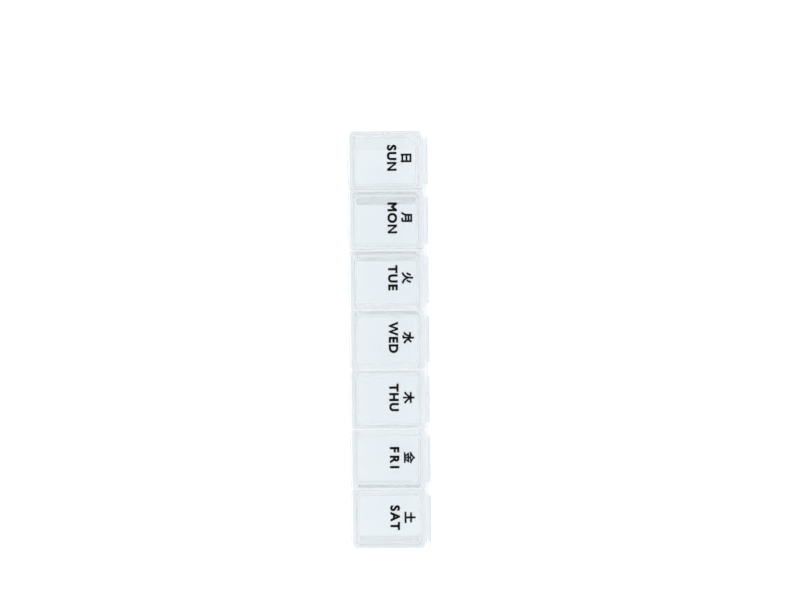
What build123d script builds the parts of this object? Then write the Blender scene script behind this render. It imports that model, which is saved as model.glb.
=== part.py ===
from build123d import *
import os

# Weekly pill box: a row of seven compartments under seven flip lids.
# X runs along the row (first day at -X), Y from the thumb side to the hinge side, Z up.
# The origin is the centre of the underside. All lengths are in millimetres.

DAYS = ("sun", "mon", "tue", "wed", "thu", "fri", "sat")

# Tray
lid_pitch = 21.4
tray_width = 25.8
tray_height = 18.7
wall_thickness = 1.2
floor_thickness = 1.2
partition_thickness = 1.0
draft_angle = 1.0
tray_corner_radius = 2.0
base_edge_radius = 1.0
rim_bevel = 0.3
pocket_corner_radius = 1.4
pocket_floor_bevel = 0.5

# Lids
lid_thickness = 1.2
lid_gap = 0.6
lid_overhang = 0.5
lid_corner_radius = 1.0
lid_top_bevel = 0.3
lid_seat_gap = 0.1
thumb_lip_bow = 0.45
skirt_depth = 2.0
skirt_thickness = 0.8
skirt_wall_clearance = 0.3
skirt_end_clearance = 0.4
skirt_lead_in = 0.25

# Latch: a bead on the front of each skirt, in a groove inside the front wall
latch_length = 8.0
latch_radius = 0.35
latch_clearance = 0.15

# Hinge straps
strap_length = 16.6
strap_thickness = 0.35
strap_fold_thickness = 0.26
strap_loop_radius = 0.5

# Hinge rail: a ledge along the back of the rim, which carries the straps
hinge_rail_reach = 1.0
hinge_rail_margin = 0.5
hinge_rail_inset = 3.0
hinge_rail_corner_radius = 1.0

# Places that follow from the sizes above
row_length = len(DAYS) * lid_pitch
half_width = tray_width / 2
pocket_depth = tray_height - floor_thickness
pocket_width = tray_width - 2 * wall_thickness
lid_underside = tray_height + lid_seat_gap
lid_length = lid_pitch - lid_gap
lid_front = -half_width - lid_overhang
lid_back = half_width + lid_overhang
thickest_end = max(wall_thickness, partition_thickness / 2)
skirt_length = lid_pitch - 2 * (thickest_end + skirt_end_clearance)
skirt_width = pocket_width - 2 * skirt_wall_clearance
skirt_corner_radius = pocket_corner_radius - skirt_wall_clearance
latch_height = lid_underside - skirt_depth / 2
strap_top = lid_underside + (lid_thickness - lid_top_bevel) / 2
strap_bottom = strap_top - 2 * strap_loop_radius
rail_face = lid_back + hinge_rail_reach
rail_bottom = strap_bottom - strap_thickness / 2 - hinge_rail_margin
rail_length = row_length - 2 * hinge_rail_inset
rail_root = half_width - wall_thickness / 2
day_centers = [(index - (len(DAYS) - 1) / 2) * lid_pitch for index in range(len(DAYS))]


def pocket_ends(index):
    """Lowest and highest X of one compartment at the rim; the end walls are full walls."""
    low = day_centers[index] - lid_pitch / 2
    high = day_centers[index] + lid_pitch / 2
    first = index == 0
    last = index == len(DAYS) - 1
    low += wall_thickness if first else partition_thickness / 2
    high -= wall_thickness if last else partition_thickness / 2
    return low, high


# Tray: a drafted block, hollowed into seven drafted compartments with bevelled floor edges
with BuildPart() as tray:
    with BuildSketch(Plane.XY.offset(tray_height)):
        RectangleRounded(row_length, tray_width, tray_corner_radius)
    extrude(amount=-tray_height, taper=draft_angle)
    fillet(faces().sort_by(Axis.Z)[0].edges(), base_edge_radius)
    chamfer(faces().sort_by(Axis.Z)[-1].edges(), rim_bevel)

    with BuildSketch(Plane.XY.offset(tray_height)):
        for index in range(len(DAYS)):
            low, high = pocket_ends(index)
            with Locations(((low + high) / 2, 0)):
                RectangleRounded(high - low, pocket_width, pocket_corner_radius)
    extrude(amount=-pocket_depth, taper=draft_angle, mode=Mode.SUBTRACT)
    pocket_floors = faces().filter_by(Plane.XY).group_by(Axis.Z)[1]
    chamfer(pocket_floors.edges(), pocket_floor_bevel)

    # Hinge rail, rooted in the back wall and level with the rim
    with BuildSketch(Plane.XY.offset(rail_bottom)):
        with Locations((0, rail_root)):
            Rectangle(rail_length, rail_face - rail_root, align=(Align.CENTER, Align.MIN))
        fillet(vertices().group_by(Axis.Y)[-1], hinge_rail_corner_radius)
    extrude(amount=tray_height - rail_bottom)

    # Latch grooves inside the front wall
    with BuildSketch(Plane.YZ):
        with Locations((-skirt_width / 2, latch_height)):
            Circle(latch_radius + latch_clearance)
    groove = extrude(amount=latch_length / 2 + latch_clearance, both=True, mode=Mode.PRIVATE)
    with Locations([(center, 0, 0) for center in day_centers]):
        add(groove, mode=Mode.SUBTRACT)

tray.part.label = "tray"


def make_lid(center):
    """One flip lid: a plate with a bowed thumb lip, and a skirt with a latch bead."""
    with BuildPart() as lid:
        with BuildSketch(Plane((center, 0, lid_underside))):
            with BuildLine():
                ThreePointArc(
                    (-lid_length / 2, lid_front),
                    (0, lid_front - thumb_lip_bow),
                    (lid_length / 2, lid_front),
                )
                Polyline(
                    (lid_length / 2, lid_front),
                    (lid_length / 2, lid_back),
                    (-lid_length / 2, lid_back),
                    (-lid_length / 2, lid_front),
                )
            make_face()
            fillet(vertices(), lid_corner_radius)
        extrude(amount=lid_thickness)
        chamfer(faces().sort_by(Axis.Z)[-1].edges(), lid_top_bevel)

        with BuildSketch(Plane((center, 0, lid_underside))):
            RectangleRounded(skirt_length, skirt_width, skirt_corner_radius)
            offset(amount=-skirt_thickness, mode=Mode.SUBTRACT)
        extrude(amount=-skirt_depth)
        lead_in = faces().sort_by(Axis.Z)[0].outer_wire()
        chamfer(lead_in.edges(), skirt_lead_in)

        with BuildSketch(Plane.YZ.offset(center)):
            with Locations((-skirt_width / 2, latch_height)):
                Circle(latch_radius)
        extrude(amount=latch_length / 2, both=True)
    return lid.part


def make_hinge_strap(center):
    """One hinge strap: a half loop from the tray's hinge rail to the lid's back edge, thinner in the fold."""
    half = strap_thickness / 2
    loop_middle = (strap_top + strap_bottom) / 2
    fold_outside = rail_face + strap_loop_radius + strap_fold_thickness / 2
    fold_inside = fold_outside - strap_fold_thickness
    with BuildPart() as strap:
        with BuildSketch(Plane.YZ.offset(center)):
            with BuildLine():
                Line((rail_face, strap_bottom + half), (rail_face, strap_bottom - half))
                ThreePointArc(
                    (rail_face, strap_bottom - half),
                    (fold_outside, loop_middle),
                    (rail_face, strap_top + half),
                )
                Polyline(
                    (rail_face, strap_top + half),
                    (lid_back, strap_top + half),
                    (lid_back, strap_top - half),
                    (rail_face, strap_top - half),
                )
                ThreePointArc(
                    (rail_face, strap_top - half),
                    (fold_inside, loop_middle),
                    (rail_face, strap_bottom + half),
                )
            make_face()
        extrude(amount=strap_length / 2, both=True)
    return strap.part


pieces = [tray.part]
for day, center in zip(DAYS, day_centers):
    lid = make_lid(center)
    lid.label = f"lid_{day}"
    strap = make_hinge_strap(center)
    strap.label = f"hinge_strap_{day}"
    pieces += [lid, strap]

os.makedirs("parts", exist_ok=True)
for piece in pieces:
    export_step(piece, f"parts/{piece.label}.step")
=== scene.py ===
# %% [markdown]
# # A weekly pill box
# The real object is one moulding in pale blue, see-through polypropylene: a tray of seven
# compartments, seven flip lids, and a thin strap that hinges each lid to the tray. The packed
# model already has every piece in its true place and size. This lesson gives each piece the
# rounded edges, the print and the plastic that the eye expects, and leaves the sizes alone.

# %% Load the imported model
import math

import bmesh
import bpy
import numpy as np
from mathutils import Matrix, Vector
from mathutils.geometry import delaunay_2d_cdt


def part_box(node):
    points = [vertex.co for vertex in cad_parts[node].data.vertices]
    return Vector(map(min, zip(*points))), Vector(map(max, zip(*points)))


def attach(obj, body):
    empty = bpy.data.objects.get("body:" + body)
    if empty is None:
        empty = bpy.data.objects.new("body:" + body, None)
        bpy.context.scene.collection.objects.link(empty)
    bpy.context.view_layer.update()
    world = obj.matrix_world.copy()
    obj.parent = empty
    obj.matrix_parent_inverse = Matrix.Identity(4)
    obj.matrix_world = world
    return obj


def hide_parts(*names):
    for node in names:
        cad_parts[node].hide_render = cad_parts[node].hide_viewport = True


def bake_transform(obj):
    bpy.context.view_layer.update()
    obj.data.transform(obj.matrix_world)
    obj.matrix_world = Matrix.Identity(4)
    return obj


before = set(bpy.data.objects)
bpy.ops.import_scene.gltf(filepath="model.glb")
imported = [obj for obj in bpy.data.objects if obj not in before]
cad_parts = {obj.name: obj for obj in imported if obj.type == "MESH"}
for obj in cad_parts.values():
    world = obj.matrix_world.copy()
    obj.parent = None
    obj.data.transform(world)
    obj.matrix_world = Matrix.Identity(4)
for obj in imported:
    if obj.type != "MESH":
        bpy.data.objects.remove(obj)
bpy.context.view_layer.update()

# %% [markdown]
# ## Sizes
# Blender works in metres here, so each size is written in millimetres and scaled once. What
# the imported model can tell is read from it: where each lid lies, how high the tray is, and
# where the hinge straps start and end. Only what a box around a piece can't show is written
# again, next to the piece that needs it: walls, skirts, latches and small edge radii.

# %% Sizes that the pieces share
MM = 0.001
DAYS = ("sun", "mon", "tue", "wed", "thu", "fri", "sat")

lid_low, lid_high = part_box("lid_wed")
lid_top = lid_high.z
tray_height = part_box("tray")[1].z
day_centers = {day: sum(corner.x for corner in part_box(f"lid_{day}")) / 2 for day in DAYS}
lid_pitch = day_centers["mon"] - day_centers["sun"]
print(f"Lid pitch {lid_pitch / MM:.1f} mm, lid top {lid_top / MM:.1f} mm above the floor")

# %% [markdown]
# ## Camera
# The photograph looks straight down at the row: the gaps between the lids keep the same
# spacing from end to end, so the camera isn't tilted. The compartments' far walls show more
# towards one end, so it stands past the middle of the row, and a lens shift puts the row back
# in its place in the picture. The row runs down the picture, so the camera is rolled by a
# quarter turn, less the half degree by which the box lies askew.

# %% Camera
PHOTO_WIDTH = 800.0
SENSOR_WIDTH = 36.0
photo_focus = 756.0
photo_center = (400.0, 300.0)
photo_nadir = (387.9, 393.0)
camera_height = 290.0 * MM
camera_along_row = 19.1 * MM
camera_roll = math.radians(89.44)
nearest_seen = 1.0 * MM

camera_data = bpy.data.cameras.new("camera")
camera_data.sensor_width = SENSOR_WIDTH
camera_data.lens = SENSOR_WIDTH * photo_focus / PHOTO_WIDTH
camera_data.shift_x = (photo_center[0] - photo_nadir[0]) / PHOTO_WIDTH
camera_data.shift_y = (photo_nadir[1] - photo_center[1]) / PHOTO_WIDTH
camera_data.clip_start = nearest_seen
camera = bpy.data.objects.new("camera", camera_data)
camera.location = (camera_along_row, 0.0, camera_height)
camera.rotation_euler = (0.0, 0.0, camera_roll)
bpy.context.scene.collection.objects.link(camera)
bpy.context.scene.camera = camera
bpy.context.scene.view_settings.view_transform = "Standard"
print(f"Lens {camera_data.lens:.1f} mm, shift {camera_data.shift_x:.3f}, {camera_data.shift_y:.3f}")

# %% [markdown]
# ## Node graphs in Python
# A material is a graph of nodes, and a long list of links is hard to read. The small class
# below wraps one output socket, so that a line such as `0.1 + 0.05 * grain` adds the Math
# nodes by itself. Every other node comes from one method, which sets the node's options first
# and then its inputs.

# %% Sockets as values
class Value:
    """One output socket of a node graph. Arithmetic on it adds Math nodes."""

    def __init__(self, graph, socket):
        self.graph = graph
        self.socket = socket

    def math(self, operation, first, second=0.0):
        return self.graph.node("ShaderNodeMath", {"operation": operation}, {0: first, 1: second})

    def __add__(self, other):
        return self.math("ADD", self, other)

    def __radd__(self, other):
        return self.math("ADD", other, self)

    def __sub__(self, other):
        return self.math("SUBTRACT", self, other)

    def __rsub__(self, other):
        return self.math("SUBTRACT", other, self)

    def __mul__(self, other):
        return self.math("MULTIPLY", self, other)

    def __rmul__(self, other):
        return self.math("MULTIPLY", other, self)

    def __truediv__(self, other):
        return self.math("DIVIDE", self, other)

    def at_most(self, other):
        return self.math("MINIMUM", self, other)

    def at_least(self, other):
        return self.math("MAXIMUM", self, other)


print("Sockets take part in arithmetic")

# %% Graphs of nodes
class Graph:
    """A node tree that is filled from Python expressions."""

    def __init__(self, tree):
        self.tree = tree

    def node(self, kind, settings=None, inputs=None, output=0):
        """Adds a node and gives back one of its outputs, if it has any."""
        made = self.tree.nodes.new(kind)
        for name, setting in (settings or {}).items():
            setattr(made, name, setting)
        for name, given in (inputs or {}).items():
            if isinstance(given, Value):
                self.tree.links.new(given.socket, made.inputs[name])
            else:
                made.inputs[name].default_value = given
        return Value(self, made.outputs[output]) if made.outputs else None

    def noise(self, points, scale):
        """Soft random spots, from 0 to 1."""
        return self.node("ShaderNodeTexNoise", None, {"Vector": points, "Scale": scale})

    def mixed_color(self, share, first, second):
        """A colour that goes from first to second as share goes from 0 to 1."""
        inputs = {0: share, 6: (*first, 1.0), 7: (*second, 1.0)}
        return self.node("ShaderNodeMix", {"data_type": "RGBA"}, inputs, output=2)


def new_graph(owner):
    """An emptied shader graph for a material or a world."""
    owner.use_nodes = True
    owner.node_tree.nodes.clear()
    return Graph(owner.node_tree)


print("Node graphs can be written as expressions")

# %% [markdown]
# ## Light and floor
# Clear plastic shows mostly what is around it, so the room matters more than the lamps. A
# pale sky that is brighter overhead than at the horizon draws a soft grey along each edge,
# and two wide suns add a direction. The floor is white paper: it takes the shadow as a matt
# surface, and a little light of its own lifts the open paper to white. Only the rays that
# look at the paper, straight or by way of the plastic, see that light. A ray that looks along
# a wall meets many faces of plastic, so the limits on its bounces go up too: past them it
# would turn black.

# %% Sky
WHITE = (1.0, 1.0, 1.0, 1.0)
sky_overhead = 0.58
sky_horizon = 0.51

sky = bpy.data.worlds.new("sky")
graph = new_graph(sky)
direction = graph.node("ShaderNodeTexCoord", output="Generated")
height = graph.node("ShaderNodeSeparateXYZ", None, {0: direction}, output="Z").at_least(0.0)
light = sky_horizon + (sky_overhead - sky_horizon) * height
seen = graph.node("ShaderNodeLightPath", output="Is Camera Ray")
background_inputs = {"Color": WHITE, "Strength": light + seen * (1.0 - light)}
background = graph.node("ShaderNodeBackground", None, background_inputs)
graph.node("ShaderNodeOutputWorld", None, {"Surface": background})
bpy.context.scene.world = sky
print(f"Sky from {sky_horizon} at the horizon to {sky_overhead} overhead")

# %% Floor
FLOOR_SIZE = 6.0
floor_drop = 0.05 * MM
paper_albedo = 0.8
paper_lift = 0.32


def white_paper():
    material = bpy.data.materials.new("white_paper")
    graph = new_graph(material)
    rays = ("Is Camera Ray", "Is Glossy Ray", "Is Transmission Ray")
    seen = sum(graph.node("ShaderNodeLightPath", output=ray) for ray in rays).at_most(1.0)
    matt = graph.node("ShaderNodeBsdfDiffuse", None, {"Color": (paper_albedo,) * 3 + (1.0,)})
    lift = graph.node("ShaderNodeEmission", None, {"Strength": paper_lift * seen})
    both = graph.node("ShaderNodeAddShader", None, {0: matt, 1: lift})
    graph.node("ShaderNodeOutputMaterial", None, {"Surface": both})
    return material


half_floor = FLOOR_SIZE / 2
corner_signs = ((-1, -1), (1, -1), (1, 1), (-1, 1))
floor_corners = [(x * half_floor, y * half_floor, -floor_drop) for x, y in corner_signs]
floor_mesh = bpy.data.meshes.new("floor")
floor_mesh.from_pydata(floor_corners, [], [(0, 1, 2, 3)])
floor_mesh.materials.append(white_paper())
floor = bpy.data.objects.new("floor", floor_mesh)
bpy.context.scene.collection.objects.link(floor)
print(f"Floor of {FLOOR_SIZE:.0f} m, {floor_drop / MM:.2f} mm under the box")

# %% Suns
sun_spread = math.radians(66.0)
window_place = (0.45, -0.55, 0.75)
window_strength = 1.40
fill_place = (-0.5, 0.6, 0.8)
fill_strength = 0.74


def soft_sun(name, place, strength):
    """A wide sun that shines from a place towards the middle of the box."""
    data = bpy.data.lights.new(name, "SUN")
    data.angle = sun_spread
    data.energy = strength
    sun = bpy.data.objects.new(name, data)
    sun.location = place
    sun.rotation_euler = (-sun.location).to_track_quat("-Z", "Y").to_euler()
    bpy.context.scene.collection.objects.link(sun)
    return sun


suns = [
    soft_sun("window_sun", window_place, window_strength),
    soft_sun("fill_sun", fill_place, fill_strength),
]
print(len(suns), "wide suns")

# %% Bounces
most_bounces = 48
most_gloss_bounces = 12
most_filters = 64

limits = bpy.context.scene.cycles
limits.max_bounces = most_bounces
limits.glossy_bounces = most_gloss_bounces
limits.transmission_bounces = most_bounces
limits.transparent_max_bounces = most_filters
print("Up to", limits.max_bounces, "bounces")

# %% [markdown]
# ## Polypropylene
# The plastic is clear but not like glass: it has a pale blue tint, a faint haze and a moulded
# gloss that waves a little. Principled BSDF does this with transmission just below one, so
# that a small share stays milky. Slow clouds vary the tint and the gloss, as the flow of the
# melt does, and a fine grain ripples the surface. Where the eye looks along a wall, the haze
# adds up and the edge turns white, so the faces at the end of a wall, found by their height,
# take a milky finish. Lamps shine through thin plastic without bending much, so rays that
# only carry light meet a plain tinted filter instead.

# %% Clear plastic
CLOUD_SCALE = 45.0
GRAIN_SCALE = 900.0
CLOUD_SHARE = 0.7
PLASTIC_IOR = 1.49
MILK_SHARE = 0.78
MILK_ROUGHNESS = 0.5
MILK_CLEARNESS = 0.2


def clear_plastic(name, pale, deep, clearness, gloss, haze, ripple, edge=None):
    """The edge, if any, is two heights: the milky finish begins at one and is full at the other."""
    material = bpy.data.materials.new(name)
    graph = new_graph(material)
    points = graph.node("ShaderNodeTexCoord", output="Object")
    cloud = graph.noise(points, CLOUD_SCALE)
    grain = graph.noise(points, GRAIN_SCALE)
    waves = CLOUD_SHARE * cloud + (1.0 - CLOUD_SHARE) * grain
    bump_inputs = {"Strength": 1.0, "Distance": ripple, "Height": waves}
    plastic_inputs = {
        "Base Color": graph.mixed_color(cloud, pale, deep),
        "Roughness": gloss + haze * cloud,
        "IOR": PLASTIC_IOR,
        "Transmission Weight": clearness,
        "Normal": graph.node("ShaderNodeBump", None, bump_inputs),
    }
    surface = graph.node("ShaderNodeBsdfPrincipled", None, plastic_inputs)
    if edge:
        begins, full = edge
        milk_inputs = {
            "Base Color": (*pale, 1.0),
            "Roughness": MILK_ROUGHNESS,
            "Transmission Weight": MILK_CLEARNESS,
        }
        milk = graph.node("ShaderNodeBsdfPrincipled", None, milk_inputs)
        height = graph.node("ShaderNodeSeparateXYZ", None, {0: points}, output="Z")
        whiteness = ((height - begins) / (full - begins)).at_least(0.0).at_most(1.0)
        share = MILK_SHARE * whiteness
        surface = graph.node("ShaderNodeMixShader", None, {0: share, 1: surface, 2: milk})
    one_face = [math.sqrt(channel) for channel in pale]
    lamp_filter = graph.node("ShaderNodeBsdfTransparent", None, {"Color": (*one_face, 1.0)})
    for ray in ("Is Shadow Ray", "Is Diffuse Ray"):
        lighting = graph.node("ShaderNodeLightPath", output=ray)
        surface = graph.node("ShaderNodeMixShader", None, {0: lighting, 1: surface, 2: lamp_filter})
    graph.node("ShaderNodeOutputMaterial", None, {"Surface": surface})
    return material


print("Clear plastic with a refractive index of", PLASTIC_IOR)

# %% [markdown]
# The tray is a little hazier than the lids, which have the best gloss. The straps are the
# dullest, because plastic that is squeezed and bent turns white. Only the tray's rim and the
# lower end of the lids' skirts are wall ends that the eye looks down on.

# %% Three finishes
milk_begins = 0.30 * MM
milk_full = 0.20 * MM

tray_plastic = clear_plastic(
    "tray_polypropylene",
    pale=(0.924, 0.945, 0.959),
    deep=(0.895, 0.922, 0.942),
    clearness=0.85,
    gloss=0.10,
    haze=0.10,
    ripple=0.01 * MM,
    edge=(tray_height - milk_begins, tray_height - milk_full),
)
lid_plastic = clear_plastic(
    "lid_polypropylene",
    pale=(0.938, 0.955, 0.966),
    deep=(0.912, 0.936, 0.951),
    clearness=0.88,
    gloss=0.06,
    haze=0.10,
    ripple=0.01 * MM,
    edge=(lid_low.z + milk_begins, lid_low.z + milk_full),
)
strap_plastic = clear_plastic(
    "whitened_polypropylene",
    pale=(0.915, 0.938, 0.958),
    deep=(0.885, 0.915, 0.942),
    clearness=0.75,
    gloss=0.22,
    haze=0.15,
    ripple=0.02 * MM,
)
finishes = (tray_plastic, lid_plastic, strap_plastic)
print("Finishes:", ", ".join(finish.name for finish in finishes))

# %% [markdown]
# ## Shapes from rings
# A moulded piece is a stack of outlines: go down the inside of a lid, round the end of its
# skirt, up the outside, along the edge of the plate and over the top, and every step is the
# same rounded rectangle, a little wider or narrower. Boolean cuts would give the same walls,
# but with ragged edges. Rings of equal point counts give clean quads and true round edges.

# %% Outlines
CORNER_STEPS = 6
latch_half_length = 4.0 * MM
latch_end_step = 0.05 * MM
latch_shares = (-1.0, -0.5, 0.0, 0.5, 1.0)


def arc(center_x, center_y, radius, start, end):
    """Points of a circular arc. The angles are in degrees."""
    step = (end - start) / CORNER_STEPS
    angles = [math.radians(start + step * index) for index in range(CORNER_STEPS + 1)]
    return [(center_x + radius * math.cos(a), center_y + radius * math.sin(a)) for a in angles]


def outline(left, right, half_width, radius, latch_x, bow=0.0, bulge=0.0):
    """A rounded rectangle, counter-clockwise from its front left corner.

    The front edge can bow outwards over its whole length, and bulge out over the latch.
    """
    low_x, high_x = left + radius, right - radius
    low_y, high_y = radius - half_width, half_width - radius
    latch = [latch_x + share * latch_half_length for share in latch_shares]
    before = [(low_x + latch[0]) / 2, latch[0] - latch_end_step]
    after = [latch[-1] + latch_end_step, (latch[-1] + high_x) / 2]
    points = arc(low_x, low_y, radius, 180, 270)
    points += [(x, -half_width) for x in before]
    points += [(x, -half_width - bulge) for x in latch]
    points += [(x, -half_width) for x in after]
    points += arc(high_x, low_y, radius, 270, 360)
    points += arc(high_x, high_y, radius, 0, 90)
    points += arc(low_x, high_y, radius, 90, 180)
    middle, half = (left + right) / 2, (right - left) / 2

    def bowed(x, y):
        return y - bow * (1.0 - ((x - middle) / half) ** 2) if y < 0.0 else y

    return [(x, bowed(x, y)) for x, y in points]


print("Outlines with", CORNER_STEPS, "steps round each corner")

# %% Rings
EDGE_STEPS = 3


def edge_round(radius):
    """Steps over a rounded edge: how far each lies in from the side, and below the top."""
    turns = [math.radians(90 * step / EDGE_STEPS) for step in range(EDGE_STEPS + 1)]
    return [(radius * (1.0 - math.cos(a)), radius * (1.0 - math.sin(a))) for a in turns]


def add_rings(mesh, rings, first_cap=False, last_cap=False):
    """Joins (outline, height) rings with quads. Returns the vertices of the first and last ring."""
    loops = [[mesh.verts.new((x, y, z)) for x, y in points] for points, z in rings]
    for lower, upper in zip(loops, loops[1:]):
        for index, corner in enumerate(lower):
            after = (index + 1) % len(lower)
            mesh.faces.new((corner, lower[after], upper[after], upper[index]))
    if first_cap:
        mesh.faces.new(loops[0][::-1])
    if last_cap:
        mesh.faces.new(loops[-1])
    return loops[0], loops[-1]


print("Round edges of", EDGE_STEPS, "steps")

# %% [markdown]
# ## Smooth rounds, flat faces
# Smooth shading alone would also bend the light on the flat faces beside a round edge. A
# Weighted Normal modifier lets the larger faces decide, so that they stay flat. Some points of
# a ring can fall together, as the rail's do where they lie on the tray's back wall, so a mesh
# is welded first.

# %% Finished pieces
SMOOTH_ANGLE = math.radians(40)
WELD_DISTANCE = 0.001 * MM


def finished_piece(name, mesh, material):
    """Welds a bmesh into an object with smooth round edges and flat faces."""
    bmesh.ops.remove_doubles(mesh, verts=mesh.verts, dist=WELD_DISTANCE)
    data = bpy.data.meshes.new(name)
    mesh.to_mesh(data)
    mesh.free()
    data.materials.append(material)
    data.shade_smooth()
    data.set_sharp_from_angle(angle=SMOOTH_ANGLE)
    piece = bpy.data.objects.new(name, data)
    bpy.context.scene.collection.objects.link(piece)
    normals = piece.modifiers.new("flat_faces", "WEIGHTED_NORMAL")
    normals.keep_sharp = True
    return piece


print(f"Edges stay smooth up to {math.degrees(SMOOTH_ANGLE):.0f} degrees")

# %% [markdown]
# ## Lids
# Each lid is a plate with a thumb lip that bows out at the front, and a skirt that drops into
# its compartment. A small half-round bead on the front of the skirt snaps into a groove in the
# tray. One function walks the rings from the underside, round the skirt and over the plate.

# %% Sizes of a lid
lid_half_length = (lid_high.x - lid_low.x) / 2
lid_half_width = lid_high.y
lid_thickness = 1.2 * MM
lid_underside = lid_top - lid_thickness
lip_bow = -lid_low.y - lid_half_width
plate_corner = 1.0 * MM
plate_top_round = 0.3 * MM
plate_under_round = 0.1 * MM
skirt_end = lid_low.z
skirt_half_length = 9.1 * MM
skirt_half_width = 11.4 * MM
skirt_corner = 1.1 * MM
skirt_thickness = 0.8 * MM
skirt_end_round = 0.2 * MM
latch_height = (skirt_end + lid_underside) / 2
latch_radius = 0.35 * MM
print(f"Skirt {(lid_underside - skirt_end) / MM:.1f} mm deep, lip bowed by {lip_bow / MM:.2f} mm")

# %% Seven lids
BEAD_STEPS = 6


def make_lid(day):
    center = day_centers[day]

    def skirt(inset, z, bulge=0.0):
        left, right = center - skirt_half_length + inset, center + skirt_half_length - inset
        corner = skirt_corner - inset
        return outline(left, right, skirt_half_width - inset, corner, center, bulge=bulge), z

    def plate(inset, z):
        left, right = center - lid_half_length + inset, center + lid_half_length - inset
        corner = plate_corner - inset
        return outline(left, right, lid_half_width - inset, corner, center, bow=lip_bow), z

    end_round = edge_round(skirt_end_round)
    rings = [skirt(skirt_thickness, lid_underside)]
    rings += [skirt(skirt_thickness - step, skirt_end + rise) for step, rise in end_round]
    rings += [skirt(step, skirt_end + rise) for step, rise in reversed(end_round)]
    for step in range(BEAD_STEPS + 1):
        turn = math.radians(180 * step / BEAD_STEPS - 90)
        bead_z = latch_height + latch_radius * math.sin(turn)
        rings.append(skirt(0.0, bead_z, latch_radius * math.cos(turn)))
    rings.append(skirt(0.0, lid_underside))
    under_round = reversed(edge_round(plate_under_round))
    rings += [plate(step, lid_underside + rise) for step, rise in under_round]
    rings += [plate(step, lid_top - drop) for step, drop in edge_round(plate_top_round)]
    mesh = bmesh.new()
    add_rings(mesh, rings, first_cap=True, last_cap=True)
    lid = finished_piece(f"lid_{day}_moulding", mesh, lid_plastic)
    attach(lid, f"lid_{day}")
    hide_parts(f"lid_{day}")
    return lid


lids = [make_lid(day) for day in DAYS]
print(len(lids), "lids of", len(lids[0].data.polygons), "faces")

# %% [markdown]
# ## Tray
# The tray is drafted, wider at the rim than at the base, so that it leaves its mould. Its
# outside is one stack of rings. A narrow rail at the back of the rim carries the hinge straps:
# below the rail its points lie on the back wall, and from the rail's underside up they step
# out.

# %% Outside of the tray
draft_angle = math.radians(1.0)
draft = math.tan(draft_angle)
tray_half_length = len(DAYS) * lid_pitch / 2
tray_half_width = 12.9 * MM
tray_corner = 2.0 * MM
base_round = 1.0 * MM
rim_round = 0.25 * MM
rail_end_inset = 3.0 * MM
rail_margin = 0.5 * MM
rail_half_length = tray_half_length - rail_end_inset
rail_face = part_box("tray")[1].y
rail_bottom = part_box("hinge_strap_wed")[0].z - rail_margin
rail_corner = 1.0 * MM
rail_round = 0.15 * MM


def tray_ring(inset, z, rail_out=False, rail_inset=0.0):
    """The tray's outside at one height, with the rail stepped out or lying on the back wall."""
    lean = inset + draft * (tray_height - z)
    half_length, half_width = tray_half_length - lean, tray_half_width - lean
    radius = tray_corner - inset
    low_x, low_y = half_length - radius, half_width - radius
    points = arc(-low_x, -low_y, radius, 180, 270)
    points += arc(low_x, -low_y, radius, 270, 360)
    points += arc(low_x, low_y, radius, 0, 90)
    rail_x = rail_half_length - rail_corner
    rail_y = rail_face - rail_corner
    bend = rail_corner - rail_inset
    rail = [(rail_half_length - rail_inset, half_width)]
    rail += arc(rail_x, rail_y, bend, 0, 90)
    rail += arc(-rail_x, rail_y, bend, 90, 180)
    rail += [(rail_inset - rail_half_length, half_width)]
    points += rail if rail_out else [(x, half_width) for x, y in rail]
    points += arc(-low_x, low_y, radius, 90, 180)
    return points, z


def tray_rings():
    """The outside, from the underside up to the rim."""
    rings = [tray_ring(step, rise) for step, rise in reversed(edge_round(base_round))]
    rings.append(tray_ring(0.0, rail_bottom))
    for step, rise in reversed(edge_round(rail_round)):
        rings.append(tray_ring(0.0, rail_bottom + rise, True, step))
    for step, drop in edge_round(rim_round):
        rings.append(tray_ring(step, tray_height - drop, True, step))
    return rings


print("Outside of", len(tray_rings()), "rings")

# %% [markdown]
# Each compartment is a stack of rings that goes down from the rim to its floor, past the
# groove for the lid's bead. The row ends in a full wall, and two neighbours share a partition,
# half of which belongs to each.

# %% Compartments
GROOVE_STEPS = 6
wall_thickness = 1.2 * MM
half_partition = 0.5 * MM
floor_thickness = 1.2 * MM
pocket_corner = 1.4 * MM
pocket_floor_round = 0.6 * MM
pocket_rim_round = 0.12 * MM
groove_radius = 0.5 * MM
groove_depth = 0.2 * MM
groove_half_height = math.sqrt(groove_radius**2 - (groove_radius - groove_depth) ** 2)


def pocket_rings(day):
    """One compartment, from the rim down to its floor."""
    center = day_centers[day]
    left_wall = wall_thickness if day == DAYS[0] else half_partition
    right_wall = wall_thickness if day == DAYS[-1] else half_partition
    left, right = center - lid_pitch / 2 + left_wall, center + lid_pitch / 2 - right_wall
    half_width = tray_half_width - wall_thickness

    def pocket(inset, z, bulge=0.0):
        lean = inset + draft * (tray_height - z)
        corner = pocket_corner - lean
        return outline(left + lean, right - lean, half_width - lean, corner, center, bulge=bulge), z

    rings = []
    for step, drop in reversed(edge_round(pocket_rim_round)):
        rings.append(pocket(-step, tray_height - drop))
    for step in range(GROOVE_STEPS + 1):
        turn = math.radians(90 - 180 * step / GROOVE_STEPS)
        groove_z = latch_height + groove_half_height * math.sin(turn)
        rings.append(pocket(0.0, groove_z, groove_depth * math.cos(turn)))
    for step, rise in edge_round(pocket_floor_round):
        rings.append(pocket(step, floor_thickness + rise))
    return rings


print("Compartments of", len(pocket_rings(DAYS[0])), "rings")

# %% [markdown]
# The rim is the flat face between the outside and the seven compartments. Triangle Fill closes
# it in one go, and the triangles that it leaves upside down are turned over.

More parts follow.
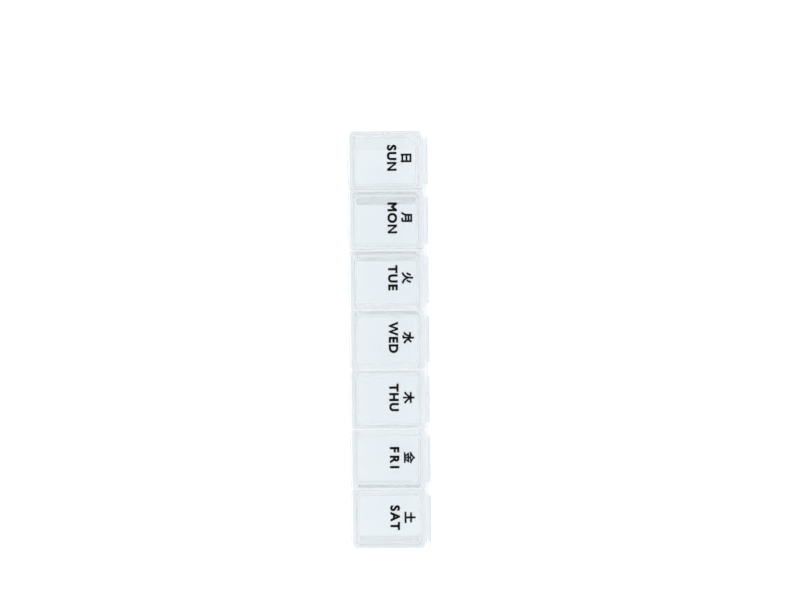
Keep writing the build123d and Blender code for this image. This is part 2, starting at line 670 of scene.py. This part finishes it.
# %% Tray
def make_tray():
    mesh = bmesh.new()
    rim_loops = [add_rings(mesh, tray_rings(), first_cap=True)[1]]
    rim_loops += [add_rings(mesh, pocket_rings(day), last_cap=True)[0] for day in DAYS]
    rim_edges = []
    for loop in rim_loops:
        for corner, after in zip(loop, loop[1:] + loop[:1]):
            rim_edges.append(mesh.edges.get((corner, after)))
    rim = bmesh.ops.triangle_fill(mesh, use_beauty=True, edges=rim_edges, normal=(0.0, 0.0, 1.0))
    rim_faces = [item for item in rim["geom"] if isinstance(item, bmesh.types.BMFace)]
    upside_down = [face for face in rim_faces if face.normal.z < 0.0]
    bmesh.ops.reverse_faces(mesh, faces=upside_down)
    tray = finished_piece("tray_moulding", mesh, tray_plastic)
    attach(tray, "tray")
    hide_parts("tray")
    return tray


tray = make_tray()
print("Tray of", len(tray.data.polygons), "faces")

# %% [markdown]
# ## Hinge straps
# Each strap is a thin strip that leaves the rail, turns over in a half loop and runs on to the
# lid. All seven are the same strip, so one Geometry Nodes tree makes them: it starts from a
# flat block and bends it along the loop by a rule. The strip thins in the fold, where the
# plastic is squeezed and turns white.

# %% Strap tree
STRAP_STEPS = 40
FOLD_THINNING = 0.25


def strap_tree():
    tree = bpy.data.node_groups.new("folded_strap", "GeometryNodeTree")
    for name in ("Width", "Thickness", "Loop Radius", "Tail", "Center", "Root", "Middle Height"):
        tree.interface.new_socket(name, in_out="INPUT", socket_type="NodeSocketFloat")
    tree.interface.new_socket("Plastic", in_out="INPUT", socket_type="NodeSocketMaterial")
    tree.interface.new_socket("Strap", in_out="OUTPUT", socket_type="NodeSocketGeometry")
    graph = Graph(tree)
    given = tree.nodes.new("NodeGroupInput")

    def size(name):
        return Value(graph, given.outputs[name])

    loop_length = math.pi * size("Loop Radius")
    length = loop_length + size("Tail")
    block_sides = {0: size("Width"), 1: length, 2: size("Thickness")}
    block_size = graph.node("ShaderNodeCombineXYZ", None, block_sides)
    block = graph.node("GeometryNodeMeshCube", None, {"Size": block_size, "Vertices Y": STRAP_STEPS})
    place = graph.node("GeometryNodeInputPosition")
    across, along, through = [
        graph.node("ShaderNodeSeparateXYZ", None, {0: place}, output=axis) for axis in ("X", "Y", "Z")
    ]
    travel = along + length / 2.0
    turn = travel.at_most(loop_length) / size("Loop Radius")
    sine = turn.math("SINE", turn)
    cosine = turn.math("COSINE", turn)
    radius = size("Loop Radius") + through * (1.0 - FOLD_THINNING * sine)
    bent = {
        0: size("Center") - across,
        1: size("Root") + radius * sine - (travel - loop_length).at_least(0.0),
        2: size("Middle Height") - radius * cosine,
    }
    bent_place = graph.node("ShaderNodeCombineXYZ", None, bent)
    strip = graph.node("GeometryNodeSetPosition", None, {"Geometry": block, "Position": bent_place})
    real = graph.node("GeometryNodeRealizeInstances", None, {"Geometry": strip})
    painted_inputs = {"Geometry": real, "Material": size("Plastic")}
    painted = graph.node("GeometryNodeSetMaterial", None, painted_inputs)
    graph.node("NodeGroupOutput", None, {"Strap": painted})
    return tree


folded_strap = strap_tree()
print("Strap tree of", len(folded_strap.nodes), "nodes")

# %% Seven straps
strap_thickness = 0.35 * MM
strap_end_gap = 0.01 * MM


def made_mesh(holder):
    """What an object's text or modifiers make, as a plain mesh."""
    bpy.context.view_layer.update()
    evaluated = holder.evaluated_get(bpy.context.evaluated_depsgraph_get())
    return bpy.data.meshes.new_from_object(evaluated)


def make_strap(day):
    low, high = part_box(f"hinge_strap_{day}")
    sizes = {
        "Width": high.x - low.x,
        "Thickness": strap_thickness,
        "Loop Radius": (high.z - low.z - strap_thickness) / 2,
        "Tail": rail_face - low.y - 2 * strap_end_gap,
        "Center": (low.x + high.x) / 2,
        "Root": rail_face + strap_end_gap,
        "Middle Height": (low.z + high.z) / 2,
        "Plastic": strap_plastic,
    }
    name = f"hinge_strap_{day}_fold"
    holder = bpy.data.objects.new(name, bpy.data.meshes.new(name))
    bpy.context.scene.collection.objects.link(holder)
    modifier = holder.modifiers.new("strap", "NODES")
    modifier.node_group = folded_strap
    for item in folded_strap.interface.items_tree:
        if item.in_out == "INPUT":
            modifier[item.identifier] = sizes[item.name]
    data = made_mesh(holder)
    holder.modifiers.clear()
    holder.data = data
    data.shade_smooth()
    data.set_sharp_from_angle(angle=SMOOTH_ANGLE)
    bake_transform(holder)
    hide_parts(f"hinge_strap_{day}")
    return holder


straps = [make_strap(day) for day in DAYS]
print(len(straps), "straps of", len(straps[0].data.polygons), "faces")

# %% [markdown]
# ## Day marks
# The lids are printed in black with the day, as every weekly box is: a short word towards the
# middle and a one-character sign above it. The ink is nearly matt, and a fine grain breaks up
# its black a little, as in print on plastic.

# %% Ink
ink_black = (0.002, 0.002, 0.0025)
ink_faded = (0.004, 0.004, 0.005)
ink_roughness = 0.40
ink_unevenness = 0.2
ink_gloss = 0.06


def black_ink():
    material = bpy.data.materials.new("black_ink")
    graph = new_graph(material)
    points = graph.node("ShaderNodeTexCoord", output="Object")
    cloud = graph.noise(points, GRAIN_SCALE)
    ink_inputs = {
        "Base Color": graph.mixed_color(cloud, ink_black, ink_faded),
        "Roughness": ink_roughness + ink_unevenness * cloud,
        "Specular IOR Level": ink_gloss,
    }
    ink = graph.node("ShaderNodeBsdfPrincipled", None, ink_inputs)
    graph.node("ShaderNodeOutputMaterial", None, {"Surface": ink})
    return material


ink = black_ink()
print("Ink:", ink.name)

# %% [markdown]
# Blender's own font gives the letters. A text object is turned into a flat filled mesh, and
# its outline is moved outwards, square to its edges, to make it bold. At a sharp corner the
# two edges would push the point far out, so that push has a limit.

# %% Bold letters
SHARPEST_MITRE = 0.55
Z_AXIS = Vector((0.0, 0.0, 1.0))


def flat_letters(text, size, spacing):
    """The filled outlines of a text, as a flat mesh around x = 0."""
    letters = bpy.data.curves.new("letters", "FONT")
    letters.body = text
    letters.size = size
    letters.space_character = spacing
    letters.align_x = "CENTER"
    holder = bpy.data.objects.new("letters", letters)
    bpy.context.scene.collection.objects.link(holder)
    data = made_mesh(holder)
    bpy.data.objects.remove(holder)
    mesh = bmesh.new()
    mesh.from_mesh(data)
    bmesh.ops.remove_doubles(mesh, verts=mesh.verts, dist=WELD_DISTANCE)
    return mesh


def embolden(mesh, boldness):
    """Moves the outline of flat letters outwards, square to its edges."""
    moves = {}
    for corner in mesh.verts:
        outward = []
        for edge in corner.link_edges:
            if edge.is_boundary:
                side = (edge.verts[1].co - edge.verts[0].co).cross(Z_AXIS).normalized()
                inside = edge.link_faces[0].calc_center_median() - edge.verts[0].co
                outward.append(-side if side.dot(inside) > 0.0 else side)
        if len(outward) == 2:
            middle = outward[0] + outward[1]
            moves[corner] = boldness * middle / max(middle.length_squared / 2, SHARPEST_MITRE)
    for corner, move in moves.items():
        corner.co += move


print("Letters are filled, welded and made bold")

# %% [markdown]
# Thick strokes run into each other where they meet. A flat triangulation cuts the moved
# outline wherever it crosses itself, and each of its triangles is kept once if the outline
# turns round it, and left out if it doesn't.

# %% Joined strokes
STROKE_WELD = 0.004 * MM
WHOLE_HULL = 0


def turns_round(spot, starts, ends):
    """How many times a closed outline of edges turns round a spot, counter-clockwise."""
    rising = (starts[:, 1] <= spot.y) & (ends[:, 1] > spot.y)
    falling = (starts[:, 1] > spot.y) & (ends[:, 1] <= spot.y)
    run, rise = (ends - starts).T
    side = run * (spot.y - starts[:, 1]) - rise * (spot.x - starts[:, 0])
    return np.count_nonzero(rising & (side > 0.0)) - np.count_nonzero(falling & (side < 0.0))


def joined_strokes(mesh):
    """The same flat letters without overlaps: each spot inside the moved outline is covered once."""
    mesh.verts.index_update()
    loops = [edge.link_loops[0] for edge in mesh.edges if edge.is_boundary]
    edges = [(loop.vert.index, loop.link_loop_next.vert.index) for loop in loops]
    spots = [corner.co.xy for corner in mesh.verts]
    starts, ends = [np.array([spots[edge[side]] for edge in edges]) for side in (0, 1)]
    mesh.free()
    spots, _, parts = delaunay_2d_cdt(spots, edges, [], WHOLE_HULL, STROKE_WELD)[:3]
    joined = bmesh.new()
    corners = [joined.verts.new((*spot, 0.0)) for spot in spots]
    for part in parts:
        middle = sum((spots[index] for index in part), Vector((0.0, 0.0))) / len(part)
        if turns_round(middle, starts, ends) > 0:
            joined.faces.new([corners[index] for index in part])
    unused = [corner for corner in joined.verts if not corner.link_faces]
    bmesh.ops.delete(joined, geom=unused, context="VERTS")
    return joined


print("Strokes are joined")

# %% [markdown]
# The joined letters are raised into a thin film of ink and laid just above the lid, which they
# ride on. One sign has twice as many strokes as the others, so it is thickened less, and the
# two narrow words are spaced wider. The print sits a little nearer to the first day than the
# lids' middle, as it does in the photograph.

# %% One mark
ink_thickness = 0.03 * MM
ink_lift = 0.002 * MM
mark_shift = -0.6 * MM


def print_mark(name, day, text, size, boldness, baseline, spacing=1.0):
    mesh = flat_letters(text, size, spacing)
    embolden(mesh, boldness)
    mesh = joined_strokes(mesh)
    film = bmesh.ops.extrude_face_region(mesh, geom=mesh.faces[:], use_keep_orig=True)
    top = [item for item in film["geom"] if isinstance(item, bmesh.types.BMVert)]
    bmesh.ops.translate(mesh, verts=top, vec=(0.0, 0.0, ink_thickness))
    bmesh.ops.recalc_face_normals(mesh, faces=mesh.faces)
    place = (day_centers[day] + mark_shift, baseline, lid_top + ink_lift)
    bmesh.ops.translate(mesh, verts=mesh.verts, vec=place)
    data = bpy.data.meshes.new(name)
    mesh.to_mesh(data)
    mesh.free()
    data.materials.append(ink)
    mark = bpy.data.objects.new(name, data)
    bpy.context.scene.collection.objects.link(mark)
    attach(mark, f"lid_{day}")
    return mark


print(f"Ink {ink_thickness / MM:.2f} mm thick")

# %% Seven printed days
SIGNS = dict(zip(DAYS, "日月火水木金土"))
word_size = 4.36 * MM
word_boldness = 0.22 * MM
word_baseline = 0.69 * MM
word_spacing = dict.fromkeys(DAYS, 1.21) | {"fri": 1.48, "sat": 1.27}
sign_size = 4.12 * MM
sign_boldness = dict.fromkeys(DAYS, 0.20 * MM) | {"fri": 0.16 * MM}
sign_baseline = 5.85 * MM

marks = []
for day in DAYS:
    word = (day.upper(), word_size, word_boldness, word_baseline, word_spacing[day])
    sign = (SIGNS[day], sign_size, sign_boldness[day], sign_baseline)
    marks.append(print_mark(f"day_word_{day}", day, *word))
    marks.append(print_mark(f"day_sign_{day}", day, *sign))
print(len(marks), "marks on", len(DAYS), "lids")
